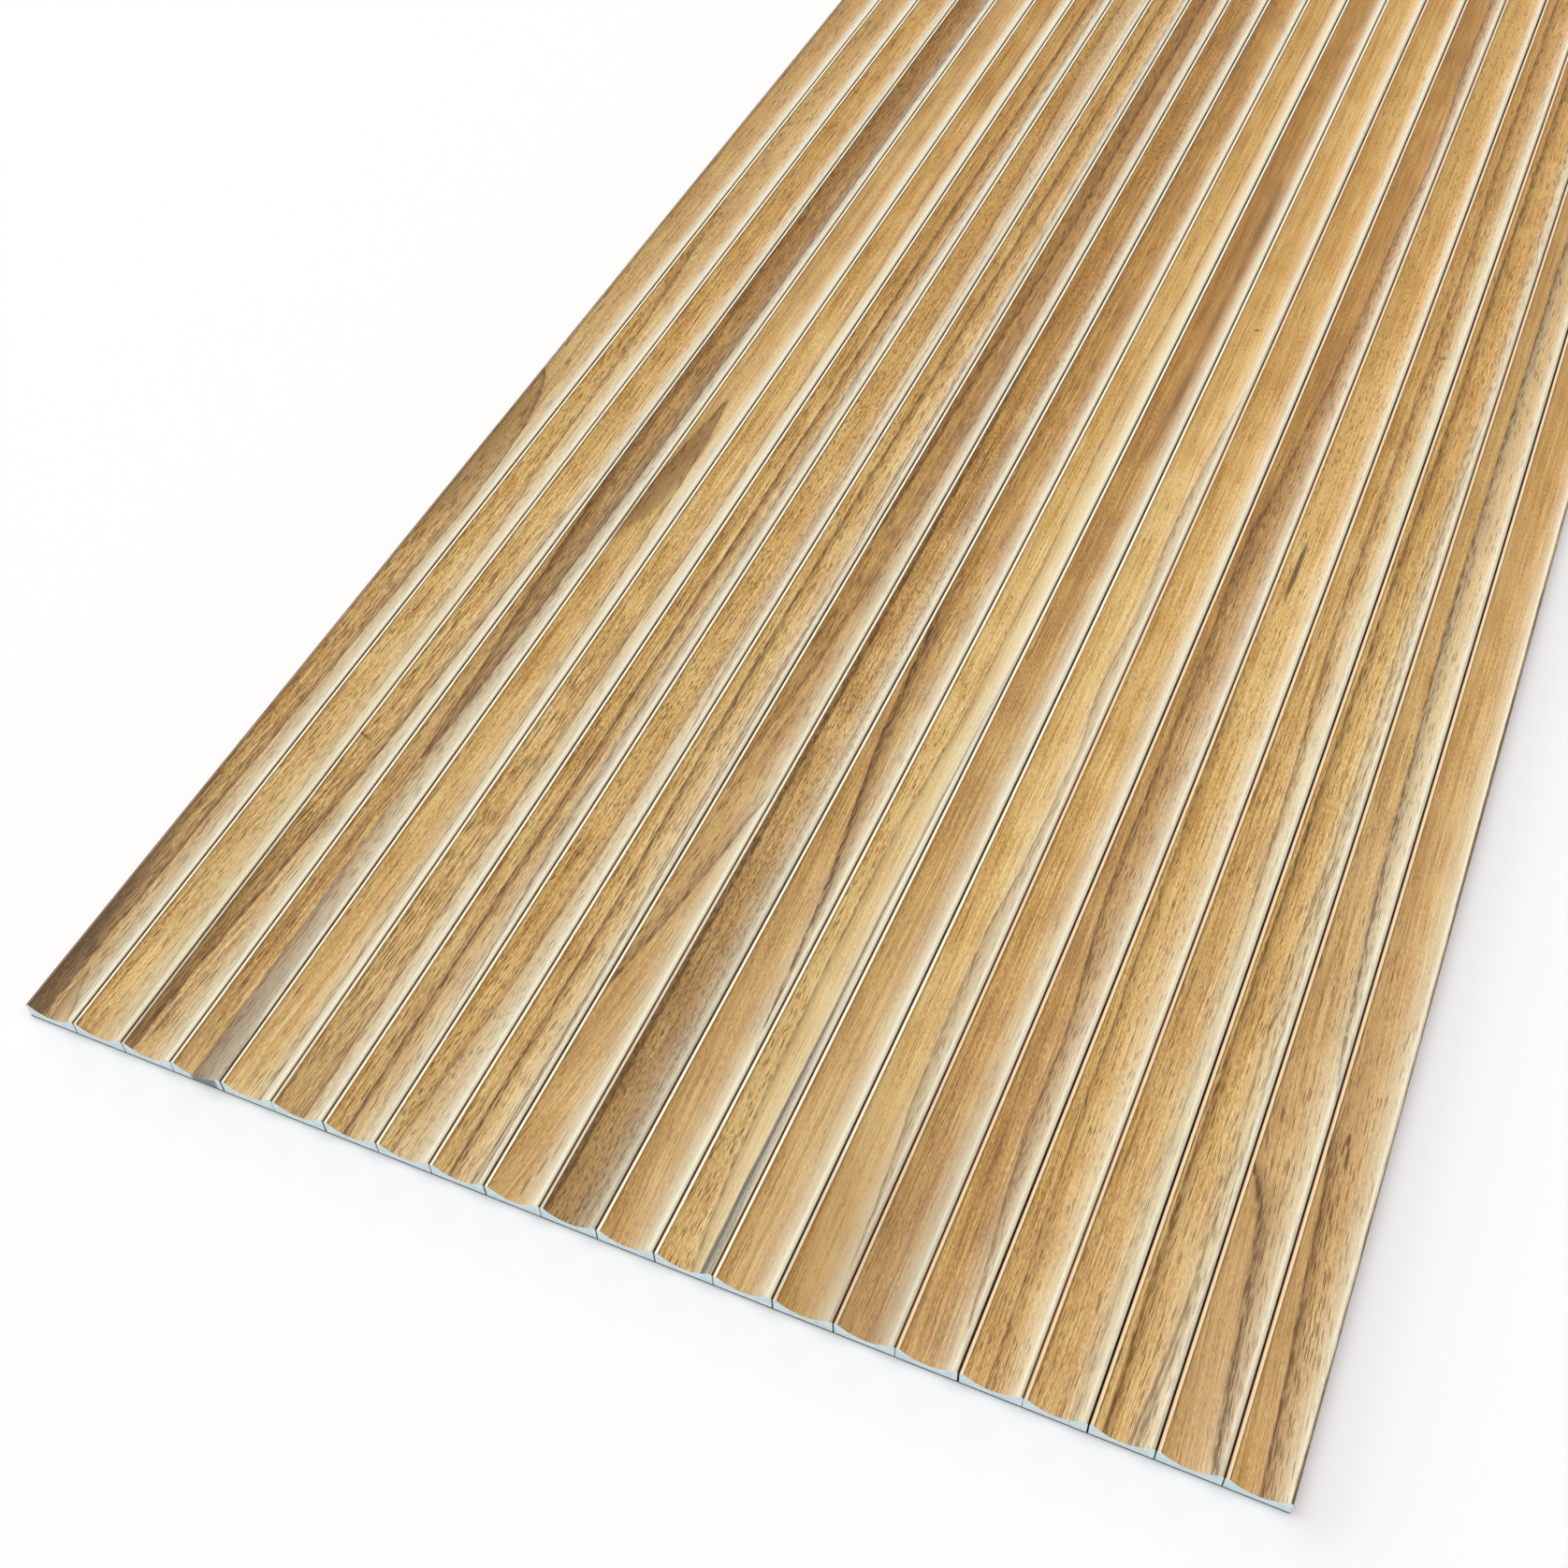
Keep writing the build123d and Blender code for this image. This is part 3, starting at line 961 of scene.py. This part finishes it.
def end_grain_finish():
    """The sawn ends: pale and chalky, with faint ring arcs, saw fuzz and open pores seen end on."""
    material, shader, place = new_finish("sawn_end_grain")
    place = place.node("VectorMath", {"operation": "SCALE"}, {0: place, "Scale": MILLIMETRES})
    clouds = noise(place, END_CLOUD_SCALE, (4.0, 1.0, 2.0), 4.0, 0.6)
    arcs = noise(place, END_ARC_SCALE, (9.0, 3.0, 5.0), 3.0, 0.55)
    arc_line = step(abs(arcs - 0.5), 0.0, 0.03, 1.0, 0.0)
    fuzz = noise(place, END_FUZZ_SCALE, (2.0, 8.0, 1.0), 3.0, 0.6)
    colour = mix(step(clouds, 0.3, 0.7), END_PALE, END_BLUE)
    colour = mix(arc_line * 0.4, colour, END_GREY)
    colour = mix(step(fuzz, 0.56, 0.75) * 0.35, colour, END_PORE)
    across, along, _ = split(place)
    left, right = CHARRED_ACROSS
    charred = step(across, left - 1.0, left) * step(across, right - 3.0, right, 1.0, 0.0)
    charred = charred * step(along, -1.0, 1.0, 1.0, 0.0)
    colour = mix(charred * step(fuzz, 0.3, 0.6, 0.95, 0.6), colour, END_BLACK)
    feed(shader, "Base Color", colour)
    feed(shader, "Roughness", 0.8 + fuzz * 0.15)
    bump = fuzz.node("Bump", {}, {"Strength": 0.5, "Distance": 0.0003, "Height": fuzz})
    feed(shader, "Normal", bump)
    return material


# The row of slats
# The slats are glued to the cloth edge to edge by their backs, with an open joint between neighbours. Long
# thin lengths of wood are never quite straight, so each one but the two outermost bows sideways by a tenth of
# a millimetre or two.

BOW = 0.00014
BOW_LENGTHS = (1.9, 0.83)
BOW_TURN = 2.4  # from one slat's wave to the next one's, in radians


def bow_sideways(mesh, number):
    """Lets a slat wander a little to the left and right along its length."""
    places = np.empty(len(mesh.vertices) * 3)
    mesh.vertices.foreach_get("co", places)
    places = places.reshape(-1, 3)
    for count, wave in enumerate(BOW_LENGTHS):
        turn = number * (BOW_TURN + count)
        places[:, 0] += BOW / (count + 1) * np.sin(places[:, 1] * 2 * math.pi / wave + turn)
    mesh.vertices.foreach_set("co", places.ravel())


master = moulded_slat()
lay_out_surface(master.data)
end_grain = end_grain_finish()
outermost = (SLAT_NAMES[0], SLAT_NAMES[-1])
for number, (node, drawn) in enumerate(zip(SLAT_NAMES, SLAT_LOOKS), start=1):
    low, high = (Vector(corner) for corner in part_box(node))
    centre = (low.x + high.x) / 2
    mesh = master.data.copy()
    mesh.name = f"wood_{node}"
    if node not in outermost:
        bow_sideways(mesh, number)
    mesh.transform(Matrix.Translation((centre, 0, SLAT_BACK)))
    mesh.materials.append(wood_finish(number, centre, drawn))
    mesh.materials.append(end_grain)
    for face in mesh.polygons:
        face.material_index = 1 if is_sawn_end(face) else 0
    slat = bpy.data.objects.new(f"wood_{node}", mesh)
    bpy.context.scene.collection.objects.link(slat)
    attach(slat, "root")
    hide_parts(node)
bpy.data.objects.remove(master)


# Studio
# The panel lies on its back on a plain white floor, under a soft bright ceiling and between white walls. A
# window low on the far left is brighter than the rest and gives some of the sheen on the right flank of every
# cove, the rest is painted sheen in the wood.

FLOOR_SIZE = 14.0
FLOOR_COLOUR = (252, 252, 252)
FLOOR_GAP = 0.0002
WALL_LIGHT = 1.0
ROOM_LIGHT = 0.2
CEILING_LIGHT = 1.4
WINDOW_LIGHT = 3.2
WINDOW_WAY = (-0.87, 0.49, 0.0)
WALL_TOP = (0.08, 0.25)  # how steeply up the walls end, as a share of straight up, as are the next two
CEILING_EDGE = (0.6, 0.85)
WINDOW_TOP = (0.3, 0.6)
WINDOW_SIDE = (0.6, 0.9)  # how squarely a way faces the window
EYE = Vector((0.2576, -1.5263, 0.7691))
AIM = Vector((-0.0292, -0.9353, 0.0))  # what the middle of the picture shows
ROLL = math.radians(-2.86)
LENS = 45.53
SENSOR = 36.0

bpy.ops.object.select_all(action="DESELECT")
bpy.ops.mesh.primitive_plane_add(size=FLOOR_SIZE, location=(0, 0, cad_low[2] - FLOOR_GAP))
floor = bpy.context.object
floor.name = "studio_floor"
floor_finish, floor_shader, _ = new_finish("white_floor")
floor_shader.inputs["Base Color"].default_value = linear(FLOOR_COLOUR)
floor_shader.inputs["Roughness"].default_value = 0.9
floor.data.materials.append(floor_finish)

world = bpy.data.worlds.new("white_room")
world.use_nodes = True
background = world.node_tree.nodes["Background"]
background.inputs["Color"].default_value = (1.0, 1.0, 1.0, 1.0)
way = Value(world.node_tree.nodes.new("ShaderNodeTexCoord").outputs["Generated"])
facing = way.node("VectorMath", {"operation": "DOT_PRODUCT"}, {0: way, 1: WINDOW_WAY}, output=1)
rise = way.node("SeparateXYZ", {}, {0: way}, output=2)
room = step(rise, *WALL_TOP, WALL_LIGHT, ROOM_LIGHT) + step(rise, *CEILING_EDGE, 0.0, CEILING_LIGHT)
window = step(facing, *WINDOW_SIDE) * step(rise, *WINDOW_TOP, 1.0, 0.0)
feed(background, "Strength", room + WINDOW_LIGHT * window)
bpy.context.scene.world = world

view = bpy.data.cameras.new("photo_view")
view.lens = LENS
view.sensor_width = SENSOR
camera = bpy.data.objects.new("photo_view", view)
turn = (AIM - EYE).to_track_quat("-Z", "Y").to_matrix().to_4x4() @ Matrix.Rotation(ROLL, 4, "Z")
camera.matrix_world = Matrix.Translation(EYE) @ turn
bpy.context.scene.collection.objects.link(camera)
bpy.context.scene.camera = camera
bpy.context.scene.view_settings.view_transform = "Standard"
